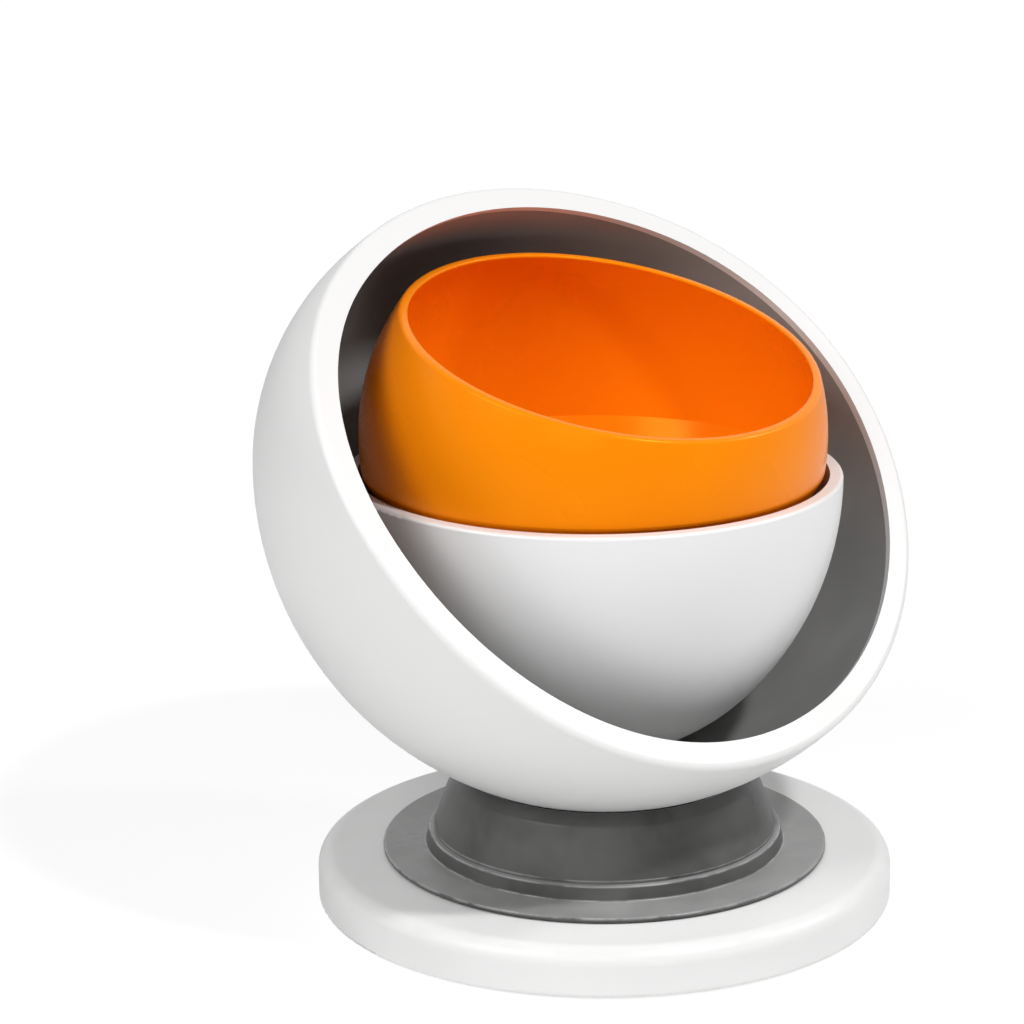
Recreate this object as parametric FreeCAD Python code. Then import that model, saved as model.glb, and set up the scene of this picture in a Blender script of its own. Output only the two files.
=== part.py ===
import FreeCAD, Part
import math
import os

# Rotating desk organizer: a round weighted base, a grey pedestal that turns on a ball race,
# an open double-walled globe shell on the pedestal, a bowl inside it and a cup in the bowl.
# Millimetres. Origin at the middle of the underside, +Z up, the shell opens towards -Y.

# Shell: a half ball below its widest line and a flatter dome above it, cut open on a slant.
shell_radius = 105.0
shell_crown_share = 0.8667
shell_crown_curve_share = 1.11
shell_wall = 2.6
rim_width = 7.9
rim_thickness = 2.6
rim_outer_round = 2.0
opening_tilt = 48.0
opening_curve_radius = 740.0
opening_crown = 11.2
liner_wall = 2.2

# Bowl and cup stand on one upright axis, set back a little behind the turning axis.
bowl_setback = 5.0
bowl_gap = 21.9
bowl_depth_share = 1.157
bowl_tip_curve_share = 0.904
bowl_lip_width = 4.0
bowl_floor_wall = 2.8
bowl_rim_round = 1.0
bowl_foot_radius = 17.0
bowl_foot_drop = 0.6
bowl_spacer_height = 5.8
cup_gap = 0.8
cup_bulge_rise = 11.4
cup_knee_rise = 0.6
cup_knee_round = 2.5
cup_rim_distance = 30.5
cup_rim_tilt = 15.5
cup_rim_outer_round = 1.5
cup_rim_inner_round = 0.6
cup_wall = 2.6
cup_floor = 3.0
cup_foot_radius = 24.0
cup_foot_round = 5.0

# Base: a shallow disc moulding, closed from below by a plate with a full-width pad.
base_radius = 88.2
base_height = 15.5
base_top_round = 5.0
base_foot_round = 1.6
base_wall = 2.6
base_edge_lift = 0.6
pad_margin = 4.0
pad_thickness = 1.4
plate_thickness = 2.2
plate_margin = 0.25
hub_radius = 9.0
hub_rise = 7.5
hub_bore_clearance = 0.1
boss_radius = 4.2
boss_inset = 17.2
plate_screw_count = 4
rib_count = 8
rib_thickness = 1.8
base_rib_depth = 3.0
ballast_margin = 6.8
ballast_width = 14.0
ballast_headroom = 3.7
ballast_fence_wall = 1.6
ballast_fence_depth = 5.0
ballast_clearance = 0.2

# Ball race between the base and the pedestal.
race_inset = 14.5
race_width = 7.6
race_height = 2.5
race_recess_depth = 3.0
race_recess_clearance = 0.1
race_floor_wall = 2.4
ball_radius = 2.5
ball_count = 16
ball_clearance = 0.08
groove_floor = 1.4
cage_thickness = 1.5
cage_width = 7.0

# Pedestal: a thin wide flange, a low collar with a ledge, and a curved neck up to the shell.
turning_gap = 0.4
ledge_radius = 51.5
ledge_groove_depth = 0.4
ledge_groove_height = 0.7
collar_step = 0.8
collar_taper = 1.1
collar_height = 5.0
collar_round = 0.6
flange_width = 14.7
flange_thickness = 1.4
flange_edge_round = 0.5
neck_middle_inset = 2.1
neck_middle_rise = 11.0
shoulder_inset = 6.8
shoulder_rise = 17.2
neck_top_inset = 10.3
neck_gap = 0.3
neck_wall = 2.8
pedestal_rise = 14.4
deck_thickness = 3.0
deck_clearance = 0.5
dish_margin = 7.2
dish_width = 6.0
housing_wall = 2.6
pedestal_rib_count = 8
pedestal_rib_step = 1.6
pedestal_rib_angle = 22.5
seat_ring_inset = 1.2

# Pivot: a bolt through the base hub, with the pedestal's flanged bush held under a washer.
bolt_radius = 3.0
bolt_head_radius = 5.0
bolt_head_height = 4.0
bolt_head_clearance = 0.3
bolt_overhang = 1.6
bolt_socket_radius = 2.3
bolt_socket_depth = 2.4
washer_radius = 13.4
washer_thickness = 1.2
nut_radius = 5.5
nut_height = 5.0
bush_clearance = 0.06
bush_wall = 3.0
bush_flange_width = 2.0
bush_flange_height = 2.0
bush_height = 6.4
bush_top_gap = 0.3

# Screws, seats and clearances.
screw_radius = 1.6
screw_head_radius = 3.1
screw_head_height = 1.9
screw_slot_radius = 1.3
screw_slot_depth = 1.0
screw_hole_clearance = 0.1
screw_angle = 45.0
bowl_screw_angle = 30.0
shell_screw_count = 4
shell_screw_margin = 6.3
shell_screw_bite = 8.6
shell_boss_radius = 4.4
bowl_screw_count = 3
bowl_screw_margin = 5.0
bowl_screw_end_wall = 2.5
plate_screw_bite = 7.0
screw_hole_depth = 1.6
pad_seat_radius = 21.0
pad_seat_rise = 9.1
pad_seat_core_radius = 7.0
cup_pad_thickness = 1.5
seat_clearance = 0.1
rest_clearance = 0.3
overrun = 20.0
match_slack = 0.01

# Base and ball race, from the underside up.
pad_radius = base_radius - pad_margin
plate_top = pad_thickness + plate_thickness
base_ceiling = base_height - base_wall
boss_circle_radius = base_radius - boss_inset
ballast_outer_radius = boss_circle_radius - boss_radius - ballast_margin
ballast_inner_radius = ballast_outer_radius - ballast_width
ballast_top = base_ceiling - ballast_headroom
hub_height = base_height + hub_rise
race_radius = ledge_radius - race_inset
lower_race_bottom = base_height - race_recess_depth
ball_height = lower_race_bottom + groove_floor + ball_clearance + ball_radius
upper_race_top = ball_height + ball_height - lower_race_bottom
upper_race_bottom = upper_race_top - race_height

# Pedestal and its bush.
flange_bottom = base_height + turning_gap
flange_top = flange_bottom + flange_thickness
ledge_groove_radius = ledge_radius - ledge_groove_depth
collar_top_radius = ledge_radius + collar_step
collar_foot_radius = collar_top_radius + collar_taper
flange_radius = collar_foot_radius + flange_width
neck_middle_radius = ledge_radius - neck_middle_inset
shoulder_radius = ledge_radius - shoulder_inset
neck_top_radius = ledge_radius - neck_top_inset
neck_inner_radius = neck_top_radius - seat_ring_inset
dish_outer_radius = neck_top_radius - dish_margin
dish_inner_radius = dish_outer_radius - dish_width
shell_bottom_height = flange_top + pedestal_rise
deck_top = shell_bottom_height - deck_clearance
deck_bottom = deck_top - deck_thickness
washer_bottom = hub_height
bush_top = hub_height - bush_top_gap
bush_inner_radius = hub_radius + bush_clearance
bush_radius = bush_inner_radius + bush_wall
bush_flange_radius = bush_radius + bush_flange_width
bush_flange_bottom = bush_top - bush_flange_height
housing_radius = bush_flange_radius + housing_wall
shell_screw_circle_radius = housing_radius + shell_screw_margin

# Shell, bowl and cup.
shell_crown_height = shell_radius * shell_crown_share
shell_crown_curve = shell_radius * shell_crown_curve_share
equator_height = shell_bottom_height + shell_radius
liner_outer_inset = rim_width - liner_wall
bowl_radius = shell_radius - rim_width - bowl_gap
bowl_depth = bowl_radius * bowl_depth_share
bowl_tip_curve = bowl_radius * bowl_tip_curve_share
bowl_foot_bottom = shell_bottom_height + rim_width + bowl_spacer_height
bowl_bottom = bowl_foot_bottom + bowl_foot_drop
bowl_rim_height = bowl_bottom + bowl_depth
bowl_widest_height = bowl_rim_height - bowl_rim_round
bowl_screw_circle_radius = bowl_foot_radius - bowl_screw_margin
bowl_screw_end_height = shell_bottom_height + bowl_screw_end_wall
pad_seat_top = bowl_bottom + pad_seat_rise
cup_bottom = pad_seat_top + cup_pad_thickness + rest_clearance
cup_bulge_radius = bowl_radius - bowl_lip_width - cup_gap
cup_bulge_height = bowl_rim_height + cup_bulge_rise
cup_knee_height = bowl_rim_height + cup_knee_rise
axis_z = FreeCAD.Vector(0, 0, 1)
origin = FreeCAD.Vector(0, 0, 0)
shell_centre = FreeCAD.Vector(0, 0, equator_height)
bowl_axis_point = FreeCAD.Vector(0, bowl_setback, 0)


def shell_underside(radius):
    """Height of the shell's round underside at a distance from the turning axis."""
    return equator_height - math.sqrt(shell_radius ** 2 - radius ** 2)


neck_top_height = shell_underside(neck_top_radius) - neck_gap
neck_inner_height = shell_underside(neck_inner_radius) - neck_gap
seat_height = shell_underside(dish_outer_radius) - neck_gap


def save(shape, node):
    """Write one sub-part as STEP."""
    shape.exportStep("parts/" + node + ".step")


def profile_point(point):
    """A point (radius, height) of a turned profile, in the plane behind the axis."""
    return FreeCAD.Vector(0, point[0], point[1])


def turned(rows, centre=origin):
    """Solid turned about the upright axis; a row is a corner, or an arc's middle and its end."""
    edges = []
    start = rows[0]
    for row in rows[1:] + rows[:1]:
        if len(row) == 4:
            middle = row[:2]
            end = row[2:]
            arc = Part.Arc(profile_point(start), profile_point(middle), profile_point(end))
            edges.append(arc.toShape())
        else:
            end = row
            edges.append(Part.makeLine(profile_point(start), profile_point(end)))
        start = end
    face = Part.Face(Part.Wire(edges))
    solid = face.revolve(origin, axis_z, 360)
    solid.translate(centre)
    return solid


def corner_arc(start, corner, end):
    """Arc row of a quarter round from start to end; the corner is where its tangents meet."""
    share = 1 - math.sqrt(0.5)
    middle = [at + (low + high - at - at) * share for low, at, high in zip(start, corner, end)]
    return tuple(middle) + end


def arc_point(centre, radius, angle, sign):
    """Point of a circle at an angle above its centre, or below it where the sign is -1."""
    return (centre[0] + radius * math.cos(angle), centre[1] + sign * radius * math.sin(angle))


def oval_rows(side, depth, tip_curve, height, sign):
    """Two tangent arc rows from an oval's widest line at a height to its tip on the axis."""
    side_curve = (tip_curve ** 2 - side ** 2 - (tip_curve - depth) ** 2) / (tip_curve - side) / 2
    side_centre = (side - side_curve, height)
    tip_centre = (0, height + sign * (depth - tip_curve))
    meeting = math.atan2(abs(depth - tip_curve), abs(side - side_curve))
    upright = math.pi / 2
    return [
        arc_point(side_centre, side_curve, meeting / 2, sign)
        + arc_point(side_centre, side_curve, meeting, sign),
        arc_point(tip_centre, tip_curve, (meeting + upright) / 2, sign)
        + (0, height + sign * depth),
    ]


def globe(inset):
    """The shell's closed form, made smaller all round: a half ball below, a flatter dome above."""
    radius = shell_radius - inset
    slant = radius * math.sqrt(0.5)
    rows = [
        (0, equator_height - radius),
        (slant, equator_height - slant, radius, equator_height),
    ]
    return turned(rows + oval_rows(radius, shell_crown_height - inset, shell_crown_curve - inset,
                                   equator_height, 1))


def cylinder(radius, low, high, x=0, y=0):
    """Upright cylinder between two heights."""
    return Part.makeCylinder(radius, high - low, FreeCAD.Vector(x, y, low), axis_z)


def ring(inner, outer, low, high, x=0, y=0):
    """Upright ring between two heights."""
    return cylinder(outer, low, high, x, y).cut(cylinder(inner, low - overrun, high + overrun, x, y))


def circle_edges(solid, radius, height):
    """The solid's circular edges of one radius at one height."""
    found = []
    for edge in solid.Edges:
        if edge.Degenerated or edge.Curve.TypeId != "Part::GeomCircle":
            continue
        curve = edge.Curve
        if abs(curve.Radius - radius) < match_slack and abs(curve.Center.z - height) < match_slack:
            found.append(edge)
    return found


def around(count, radius, first_angle=0.0, x=0, y=0):
    """Places spaced evenly on a circle, as (x, y, angle in degrees)."""
    places = []
    for step in range(count):
        angle = first_angle + 360.0 * step / count
        turn = math.radians(angle)
        places.append((x + radius * math.cos(turn), y + radius * math.sin(turn), angle))
    return places


def radial_rib(inner, outer, low, high, angle):
    """Upright plate rib between two radii, turned to its angle."""
    corner = FreeCAD.Vector(inner, -rib_thickness / 2, low)
    rib = Part.makeBox(outer - inner, rib_thickness, high - low, corner)
    rib.rotate(origin, axis_z, angle)
    return rib


def pan_screw(x, y, seat, tip, up):
    """Round-headed screw; its head lies against the seat height and its tip points away."""
    sign = 1 if up else -1
    head_end = seat - sign * screw_head_height
    head = cylinder(screw_head_radius, min(seat, head_end), max(seat, head_end), x, y)
    shank = cylinder(screw_radius, min(seat, tip), max(seat, tip), x, y)
    slot_end = head_end + sign * screw_slot_depth
    slot = cylinder(screw_slot_radius, min(head_end, slot_end), max(head_end, slot_end), x, y)
    return head.fuse(shank).removeSplitter().cut(slot)


def hexagon(radius, low, high):
    """Hexagonal prism about the turning axis."""
    corners = [FreeCAD.Vector(px, py, low) for px, py, angle in around(6, radius)]
    wire = Part.makePolygon(corners + corners[:1])
    return Part.Face(wire).extrude(FreeCAD.Vector(0, 0, high - low))


def opening_cutter(inset):
    """Large level cylinder whose skin is the rim face; everything outside it is cut away."""
    tilt = math.radians(opening_tilt)
    normal = FreeCAD.Vector(0, -math.sin(tilt), math.cos(tilt))
    radius = opening_curve_radius - inset
    centre = shell_centre + normal * (opening_crown - opening_curve_radius)
    half_length = shell_radius + overrun
    start = centre - FreeCAD.Vector(half_length, 0, 0)
    return Part.makeCylinder(radius, half_length + half_length, start, FreeCAD.Vector(1, 0, 0))


def plate_screw_places():
    return around(plate_screw_count, boss_circle_radius, screw_angle)


def shell_screw_places():
    return around(shell_screw_count, shell_screw_circle_radius, screw_angle)


def bowl_screw_places():
    return around(bowl_screw_count, bowl_screw_circle_radius, bowl_screw_angle, 0, bowl_setback)


def drill(solid, places, radius, low, high):
    """Straight holes through a solid at the given places."""
    holes = [cylinder(radius, low, high, px, py) for px, py, angle in places]
    return solid.cut(Part.makeCompound(holes))


def anti_slip_pad():
    return cylinder(pad_radius, 0, pad_thickness)


def base_bottom_plate():
    """Closing plate with countersunk screw seats on its hidden underside."""
    plate_radius = base_radius - base_wall - plate_margin
    plate = cylinder(plate_radius, pad_thickness, plate_top)
    for px, py, angle in plate_screw_places():
        seat_height = pad_thickness + screw_head_height
        plate = plate.cut(cylinder(screw_head_radius + screw_hole_clearance, 0, seat_height, px, py))
        plate = plate.cut(cylinder(screw_radius + screw_hole_clearance, 0, base_height, px, py))
    return plate


def base_plate_screws():
    seat_height = pad_thickness + screw_head_height
    screws = []
    for px, py, angle in plate_screw_places():
        screws.append(pan_screw(px, py, seat_height, seat_height + plate_screw_bite, True))
    return Part.makeCompound(screws)


def ballast_ring():
    """Steel weight that lies on the closing plate."""
    return ring(ballast_inner_radius, ballast_outer_radius, plate_top, ballast_top)


def base_skin():
    """Outer skin of the base moulding with its rounded top and foot edges, open below."""
    wall_radius = base_radius - base_wall
    inner_round = base_top_round - base_wall
    top_inner = (base_radius - base_top_round, base_height)
    top_outer = (base_radius, base_height - base_top_round)
    foot_outer = (base_radius, base_edge_lift + base_foot_round)
    foot_inner = (base_radius - base_foot_round, base_edge_lift)
    ceiling_outer = (wall_radius, base_ceiling - inner_round)
    ceiling_inner = (wall_radius - inner_round, base_ceiling)
    return turned([
        (0, base_height),
        top_inner,
        corner_arc(top_inner, (base_radius, base_height), top_outer),
        foot_outer,
        corner_arc(foot_outer, (base_radius, base_edge_lift), foot_inner),
        (wall_radius, base_edge_lift),
        ceiling_outer,
        corner_arc(ceiling_outer, (wall_radius, base_ceiling), ceiling_inner),
        (0, base_ceiling),
    ])


def base_disc():
    """Base moulding: skin, hub, screw bosses, ribs, ballast fences and the ball race channel."""
    channel_half = race_width / 2 + race_recess_clearance
    channel_low = race_radius - channel_half
    channel_high = race_radius + channel_half
    fence_low = base_ceiling - ballast_fence_depth
    fence_inner = ballast_outer_radius + ballast_clearance
    parts = [
        cylinder(hub_radius, plate_top, hub_height),
        ring(channel_low - race_floor_wall, channel_high + race_floor_wall,
             lower_race_bottom - race_floor_wall, base_height),
        ring(fence_inner, fence_inner + ballast_fence_wall, fence_low, base_ceiling),
    ]
    for px, py, angle in plate_screw_places():
        parts.append(cylinder(boss_radius, plate_top, base_ceiling, px, py))
    for px, py, angle in around(rib_count, race_radius):
        rib_low = base_ceiling - base_rib_depth
        parts.append(radial_rib(0, base_radius - base_wall, rib_low, base_ceiling, angle))
    disc = base_skin().multiFuse(parts).removeSplitter()
    disc = disc.cut(ring(channel_low, channel_high, lower_race_bottom, base_height + overrun))
    disc = disc.cut(cylinder(bolt_radius + hub_bore_clearance, 0, hub_height + overrun))
    head_room = bolt_head_radius + bolt_head_clearance
    head_top = plate_top + bolt_head_clearance + bolt_head_height
    disc = disc.cut(cylinder(head_room, 0, head_top))
    return drill(disc, plate_screw_places(), screw_radius + screw_hole_clearance, 0,
                 pad_thickness + screw_head_height + plate_screw_bite + screw_hole_depth)


def race(low, groove_side):
    """Hardened ring with a round groove for the balls in its upper or lower face."""
    body = ring(race_radius - race_width / 2, race_radius + race_width / 2, low, low + race_height)
    groove = Part.makeTorus(race_radius, ball_radius + ball_clearance, groove_side, axis_z)
    return body.cut(groove)


def ball_places():
    return around(ball_count, race_radius)


def bearing_balls():
    balls = []
    for px, py, angle in ball_places():
        balls.append(Part.makeSphere(ball_radius, FreeCAD.Vector(px, py, ball_height)))
    return Part.makeCompound(balls)


def ball_cage():
    """Flat ring that keeps the balls apart, one pocket for each."""
    low = ball_height - cage_thickness / 2
    inner = race_radius - cage_width / 2
    outer = race_radius + cage_width / 2
    cage = ring(inner, outer, low, low + cage_thickness)
    return drill(cage, ball_places(), ball_radius + ball_clearance, low - overrun, low + overrun)


def pivot_bolt():
    """Bolt up through the hub, with a hexagon socket in its head."""
    head_top = plate_top + bolt_head_clearance + bolt_head_height
    head_low = head_top - bolt_head_height
    tip = washer_bottom + washer_thickness + nut_height + bolt_overhang
    bolt = cylinder(bolt_head_radius, head_low, head_top).fuse(cylinder(bolt_radius, head_top, tip))
    socket = hexagon(bolt_socket_radius, head_low, head_low + bolt_socket_depth)
    return bolt.removeSplitter().cut(socket)


def pivot_washer():
    hole = bolt_radius + hub_bore_clearance
    return ring(hole, washer_radius, washer_bottom, washer_bottom + washer_thickness)


def pivot_nut():
    low = washer_bottom + washer_thickness
    hole = cylinder(bolt_radius + hub_bore_clearance, low - overrun, low + overrun)
    return hexagon(nut_radius, low, low + nut_height).cut(hole)


def pivot_bush():
    """Flanged plain bush of the pedestal, running on the hub."""
    sleeve = ring(bush_inner_radius, bush_radius, bush_top - bush_height, bush_top)
    flange = ring(bush_inner_radius, bush_flange_radius, bush_flange_bottom, bush_top)
    return sleeve.fuse(flange).removeSplitter()


def pedestal_outline():
    """Outer outline of the pedestal from the flange edge up to the neck's top edge."""
    collar_top = flange_top + collar_height
    groove_top = collar_top + ledge_groove_height
    flange_side = (flange_radius, flange_top - flange_edge_round)
    flange_shelf = (flange_radius - flange_edge_round, flange_top)
    collar_side = (collar_top_radius, collar_top - collar_round)
    collar_shelf = (collar_top_radius - collar_round, collar_top)
    return [
        (flange_radius, flange_bottom),
        flange_side,
        corner_arc(flange_side, (flange_radius, flange_top), flange_shelf),
        (collar_foot_radius, flange_top),
        collar_side,
        corner_arc(collar_side, (collar_top_radius, collar_top), collar_shelf),
        (ledge_groove_radius, collar_top),
        (ledge_groove_radius, groove_top),
        (ledge_radius, groove_top),
        (neck_middle_radius, flange_top + neck_middle_rise,
         shoulder_radius, flange_top + shoulder_rise),
        (neck_top_radius, neck_top_height),
    ]


def pedestal():
    """Hollow turned moulding: flange, collar, neck, dished deck, bush housing and ribs."""
    inside = [
        (neck_inner_radius, neck_inner_height),
        (neck_inner_radius, seat_height),
        (dish_outer_radius, seat_height),
        (dish_inner_radius, deck_top),
        (bush_flange_radius, deck_top),
        (bush_flange_radius, bush_flange_bottom),
        (bush_radius, bush_flange_bottom),
        (bush_radius, bush_top - bush_height),
        (housing_radius, bush_top - bush_height),
        (housing_radius, deck_bottom),
        (dish_inner_radius, deck_bottom),
        (dish_outer_radius, seat_height - deck_thickness),
        (shoulder_radius - neck_wall, seat_height - deck_thickness),
        (ledge_groove_radius - neck_wall, flange_top + collar_height),
        (collar_top_radius - neck_wall, flange_bottom),
    ]
    body = turned(pedestal_outline() + inside)
    ribs = []
    rib_inside = bush_radius + housing_wall / 2
    wall_inside = ledge_groove_radius - neck_wall / 2
    step_radius = race_radius - race_width / 2 - race_recess_clearance
    step_low = upper_race_top - pedestal_rib_step
    for px, py, angle in around(pedestal_rib_count, race_radius, pedestal_rib_angle):
        ribs.append(radial_rib(rib_inside, step_radius, step_low, seat_height, angle))
        ribs.append(radial_rib(step_radius, wall_inside, upper_race_top, seat_height, angle))
    envelope = turned(pedestal_outline() + [(0, neck_top_height), (0, flange_bottom)])
    dish = turned([(0, deck_top), (dish_inner_radius, deck_top), (dish_outer_radius, seat_height),
                   (neck_inner_radius, seat_height), (neck_inner_radius, neck_inner_height),
                   (0, neck_inner_height)])
    body = body.multiFuse(ribs).common(envelope).cut(dish)
    body = body.cut(cylinder(bush_flange_radius, bush_flange_bottom, deck_top + overrun))
    pads = []
    for px, py, angle in shell_screw_places():
        pads.append(cylinder(shell_boss_radius, deck_bottom, equator_height, px, py))
    shell_room = globe(-seat_clearance)
    pads = Part.makeCompound([pad.cut(shell_room).common(envelope) for pad in pads])
    body = body.fuse(pads).removeSplitter()
    return drill(body, shell_screw_places(), screw_radius + screw_hole_clearance,
                 deck_bottom - overrun, equator_height)


def seat_ring():
    """Soft ring between the pedestal's top edge and the shell, dished to the shell's curve."""
    outer = neck_inner_radius - seat_clearance
    blank = ring(dish_outer_radius + seat_clearance, outer, seat_height, seat_height + overrun)
    return blank.cut(globe(-seat_clearance))


def shell_screws():
    screws = []
    for px, py, angle in shell_screw_places():
        screws.append(pan_screw(px, py, deck_bottom, deck_bottom + shell_screw_bite, True))
    return Part.makeCompound(screws)


def outer_shell():
    """White globe shell with its broad turned-in rim, open inside for the liner."""
    skin = globe(0)
    body = skin.common(opening_cutter(0))
    rim_edges = []
    for edge in body.Edges:
        box = edge.BoundBox
        faces = body.ancestorsOfType(edge, Part.Face)
        kinds = [type(face.Surface).__name__ for face in faces]
        if "Cylinder" in kinds and box.DiagonalLength > match_slack and len(set(kinds)) > 1:
            rim_edges.append(edge)
    body = body.makeFillet(rim_outer_round, rim_edges)
    cavity = globe(shell_wall).common(opening_cutter(rim_thickness))
    bosses = []
    for px, py, angle in shell_screw_places() + bowl_screw_places():
        bosses.append(cylinder(shell_boss_radius, shell_bottom_height, equator_height / 2, px, py))
    liner_room = globe(liner_outer_inset - seat_clearance)
    bosses = bosses[0].multiFuse(bosses[1:]).common(skin).cut(liner_room)
    shell = body.cut(cavity).cut(globe(rim_width)).fuse(bosses)
    shell = drill(shell, shell_screw_places(), screw_radius + screw_hole_clearance,
                  deck_bottom, deck_bottom + shell_screw_bite + seat_clearance)
    return drill(shell, bowl_screw_places(), screw_radius + screw_hole_clearance,
                 bowl_screw_end_height - seat_clearance, equator_height)


def shell_liner():
    """Thin dark inner globe that ends under the shell's turned-in rim."""
    outer = globe(liner_outer_inset)
    liner = outer.common(opening_cutter(rim_thickness + seat_clearance)).cut(globe(rim_width))
    return drill(liner, bowl_screw_places(), screw_radius + screw_hole_clearance, 0, equator_height)


def bowl_spacer():
    """Short round post between the liner and the bowl's foot, rounded to the liner's curve."""
    top = bowl_foot_bottom
    blank = cylinder(bowl_foot_radius, shell_bottom_height, top, 0, bowl_setback)
    post = blank.common(globe(rim_width + seat_clearance))
    return drill(post, bowl_screw_places(), screw_radius + screw_hole_clearance, 0, top)


def bowl_inside(shrink):
    """The bowl's hollow, made smaller all round by a clearance; its lip is thicker than its floor."""
    side = bowl_radius - bowl_lip_width - shrink
    depth = bowl_widest_height - bowl_bottom - bowl_floor_wall - shrink
    tip_curve = bowl_tip_curve - bowl_floor_wall - shrink
    above = bowl_rim_height + overrun
    rows = [(0, above), (side, above), (side, bowl_widest_height)]
    return turned(rows + oval_rows(side, depth, tip_curve, bowl_widest_height, -1), bowl_axis_point)


def bowl():
    """Deep egg-shaped bowl with a level flat lip and a small foot."""
    lip_shelf = (bowl_radius - bowl_rim_round, bowl_rim_height)
    lip_side = (bowl_radius, bowl_widest_height)
    rows = [
        (0, bowl_rim_height),
        lip_shelf,
        corner_arc(lip_shelf, (bowl_radius, bowl_rim_height), lip_side),
    ]
    depth = bowl_widest_height - bowl_bottom
    rows += oval_rows(bowl_radius, depth, bowl_tip_curve, bowl_widest_height, -1)
    body = turned(rows, bowl_axis_point)
    foot = cylinder(bowl_foot_radius, bowl_foot_bottom, bowl_bottom + bowl_floor_wall, 0, bowl_setback)
    body = body.fuse(foot).cut(bowl_inside(0))
    return drill(body, bowl_screw_places(), screw_radius + screw_hole_clearance, 0, bowl_rim_height)


def cup_seat():
    """Round block on the bowl's floor that carries the cup's pad and takes the bowl's screws."""
    blank = ring(pad_seat_core_radius, pad_seat_radius, bowl_bottom, pad_seat_top, 0, bowl_setback)
    seat = blank.common(bowl_inside(seat_clearance))
    seat = drill(seat, bowl_screw_places(), screw_radius + screw_hole_clearance, 0, pad_seat_top)
    sink = pad_seat_top - screw_head_height - seat_clearance
    return drill(seat, bowl_screw_places(), screw_head_radius + screw_hole_clearance, sink, pad_seat_top)


def bowl_screws():
    """Long screws from the cup's seat down through bowl, post and liner into the shell's bosses."""
    head_seat = pad_seat_top - screw_head_height - seat_clearance
    screws = []
    for px, py, angle in bowl_screw_places():
        screws.append(pan_screw(px, py, head_seat, bowl_screw_end_height, False))
    return Part.makeCompound(screws)


def cup_pad():
    return ring(pad_seat_core_radius, pad_seat_radius, pad_seat_top, pad_seat_top + cup_pad_thickness,
                0, bowl_setback)


def cup_rows(inset, floor_inset):
    """Profile of the cup, closed on top: flat foot, cone up to the knee, then a ball."""
    bulge = cup_bulge_radius - inset
    drop = cup_bulge_height - cup_knee_height
    knee_radius = math.sqrt(bulge ** 2 - drop ** 2)
    outer_knee_radius = math.sqrt(cup_bulge_radius ** 2 - drop ** 2)
    taper = (outer_knee_radius - cup_foot_radius) / (cup_knee_height - cup_bottom)
    low = cup_bottom + floor_inset
    foot_radius = knee_radius - taper * (cup_knee_height - low)
    return [
        (0, low),
        (foot_radius, low),
        (knee_radius, cup_knee_height),
        (bulge, cup_bulge_height, 0, cup_bulge_height + bulge),
    ]


def cup():
    """Orange cup: a slanted round mouth on a bulging collar, tapering below the bowl's lip."""
    outer_rows = cup_rows(0, 0)
    inner_rows = cup_rows(cup_wall, cup_floor)
    outer = turned(outer_rows, bowl_axis_point)
    outer = outer.makeFillet(cup_knee_round, circle_edges(outer, outer_rows[2][0], cup_knee_height))
    outer = outer.makeFillet(cup_foot_round, circle_edges(outer, outer_rows[1][0], cup_bottom))
    inner = turned(inner_rows, bowl_axis_point)
    inner = inner.makeFillet(cup_foot_round, circle_edges(inner, inner_rows[1][0], inner_rows[1][1]))
    tilt = math.radians(cup_rim_tilt)
    normal = FreeCAD.Vector(0, -math.sin(tilt), math.cos(tilt))
    rim_centre = FreeCAD.Vector(0, bowl_setback, cup_bulge_height) + normal * cup_rim_distance
    mouth = Part.makeCylinder(cup_bulge_radius + overrun, cup_bulge_radius, rim_centre, normal)
    body = outer.cut(mouth).cut(inner)
    outer_rim = math.sqrt(cup_bulge_radius ** 2 - cup_rim_distance ** 2)
    inner_rim = math.sqrt((cup_bulge_radius - cup_wall) ** 2 - cup_rim_distance ** 2)
    body = body.makeFillet(cup_rim_outer_round, circle_edges(body, outer_rim, rim_centre.z))
    return body.makeFillet(cup_rim_inner_round, circle_edges(body, inner_rim, rim_centre.z))


os.makedirs("parts", exist_ok=True)
race_centre = FreeCAD.Vector(0, 0, ball_height)
save(anti_slip_pad(), "anti_slip_pad")
save(base_bottom_plate(), "base_bottom_plate")
save(base_plate_screws(), "base_plate_screws")
save(ballast_ring(), "ballast_ring")
save(base_disc(), "base_disc")
save(race(lower_race_bottom, race_centre), "lower_race")
save(bearing_balls(), "bearing_balls")
save(ball_cage(), "ball_cage")
save(race(upper_race_bottom, race_centre), "upper_race")
save(pivot_bolt(), "pivot_bolt")
save(pivot_washer(), "pivot_washer")
save(pivot_nut(), "pivot_nut")
save(pivot_bush(), "pivot_bush")
save(pedestal(), "pedestal")
save(seat_ring(), "seat_ring")
save(shell_screws(), "shell_screws")
save(outer_shell(), "outer_shell")
save(shell_liner(), "shell_liner")
save(bowl_spacer(), "bowl_spacer")
save(bowl(), "bowl")
save(cup_seat(), "cup_seat")
save(bowl_screws(), "bowl_screws")
save(cup_pad(), "cup_pad")
save(cup(), "cup")
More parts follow.
